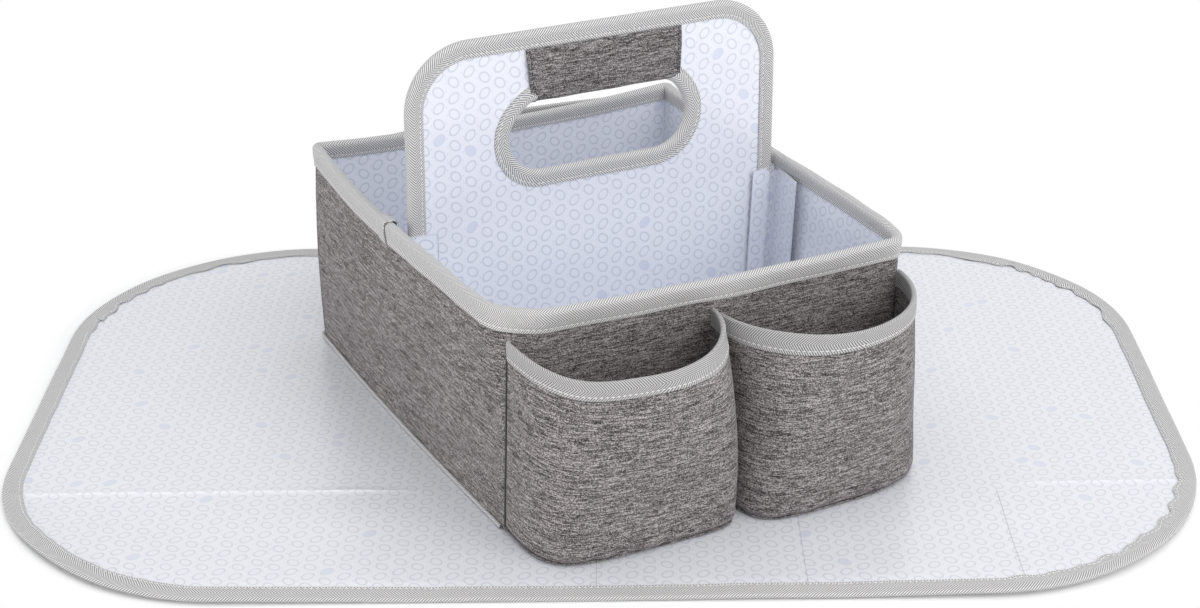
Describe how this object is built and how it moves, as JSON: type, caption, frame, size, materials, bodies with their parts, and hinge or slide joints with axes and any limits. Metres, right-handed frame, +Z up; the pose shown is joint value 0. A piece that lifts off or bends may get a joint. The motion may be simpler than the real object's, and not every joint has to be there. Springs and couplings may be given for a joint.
{
  "type": "diaper caddy",
  "caption": "Soft-walled fabric caddy with a handled upright divider, open front pockets and a back pocket, standing on its own fold-up padded changing mat.",
  "frame": {"origin": "on the floor below the middle of the caddy's base, level with the mat's underside", "axes": "+Z up, -Y out of the pocket side, +X to the caddy's right as seen from the pocket side"},
  "size_m": [0.7802, 0.655, 0.2587],
  "materials": {
    "heather_fabric": "mid-grey heathered plain weave, matt",
    "grip_fabric": "darker grey heathered weave, matt",
    "binding_tape": "light warm-grey herringbone tape",
    "printed_laminate": "wipe-clean white laminate with a pale lavender-grey outline print",
    "stiffener_board": "plain stiff board, hidden between cloth and liner",
    "mat_padding": "thin white wadding, hidden",
    "mat_backing": "pale grey coated backing cloth"
  },
  "bodies": {
    "mat_centre": {"mat_centre_sheet": "printed_laminate", "mat_centre_padding": "mat_padding", "mat_centre_backing": "mat_backing", "mat_left_binding": "binding_tape", "mat_right_binding": "binding_tape"},
    "mat_front_flap": {"mat_front_sheet": "printed_laminate", "mat_front_padding": "mat_padding", "mat_front_backing": "mat_backing", "mat_front_binding": "binding_tape"},
    "mat_back_flap": {"mat_back_sheet": "printed_laminate", "mat_back_padding": "mat_padding", "mat_back_backing": "mat_backing", "mat_back_binding": "binding_tape"},
    "caddy": {"front_panel": "heather_fabric", "back_panel": "heather_fabric", "left_panel": "heather_fabric", "right_panel": "heather_fabric", "base_panel": "heather_fabric", "front_board": "stiffener_board", "back_board": "stiffener_board", "left_board": "stiffener_board", "right_board": "stiffener_board", "base_board": "stiffener_board", "front_liner": "printed_laminate", "back_liner": "printed_laminate", "left_liner": "printed_laminate", "right_liner": "printed_laminate", "base_liner": "printed_laminate", "rim_binding": "binding_tape", "base_piping": "binding_tape", "divider_board": "stiffener_board", "divider_front_cover": "printed_laminate", "divider_back_cover": "printed_laminate", "divider_edge_binding": "binding_tape", "hand_hole_binding": "binding_tape", "grip_wrap": "grip_fabric", "left_front_tab": "printed_laminate", "left_back_tab": "printed_laminate", "right_front_tab": "printed_laminate", "right_back_tab": "printed_laminate", "left_pocket": "heather_fabric", "right_pocket": "heather_fabric", "left_pocket_floor": "heather_fabric", "right_pocket_floor": "heather_fabric", "left_pocket_binding": "binding_tape", "right_pocket_binding": "binding_tape", "back_pocket": "heather_fabric", "back_pocket_binding": "binding_tape"}
  },
  "joints": [
    {"name": "caddy_lift", "type": "slide", "parent": "mat_centre", "child": "caddy", "axis": [0, 0, 1], "range_m": [0, 0.42]},
    {"name": "mat_front_fold", "type": "hinge", "parent": "mat_centre", "child": "mat_front_flap", "pos_m": [-0.05374, -0.1309, 0.00295], "axis": [-0.9041, 0.4274, 0], "range_deg": [0, 180]},
    {"name": "mat_back_fold", "type": "hinge", "parent": "mat_centre", "child": "mat_back_flap", "pos_m": [0.05054, 0.0897, 0.00295], "axis": [0.9041, -0.4274, 0], "range_deg": [0, 180]}
  ],
  "couplings": [
    {"joint": "mat_front_fold", "follows": "caddy_lift", "rad_per_m": 7.45},
    {"joint": "mat_back_fold", "follows": "caddy_lift", "rad_per_m": 7.45}
  ]
}
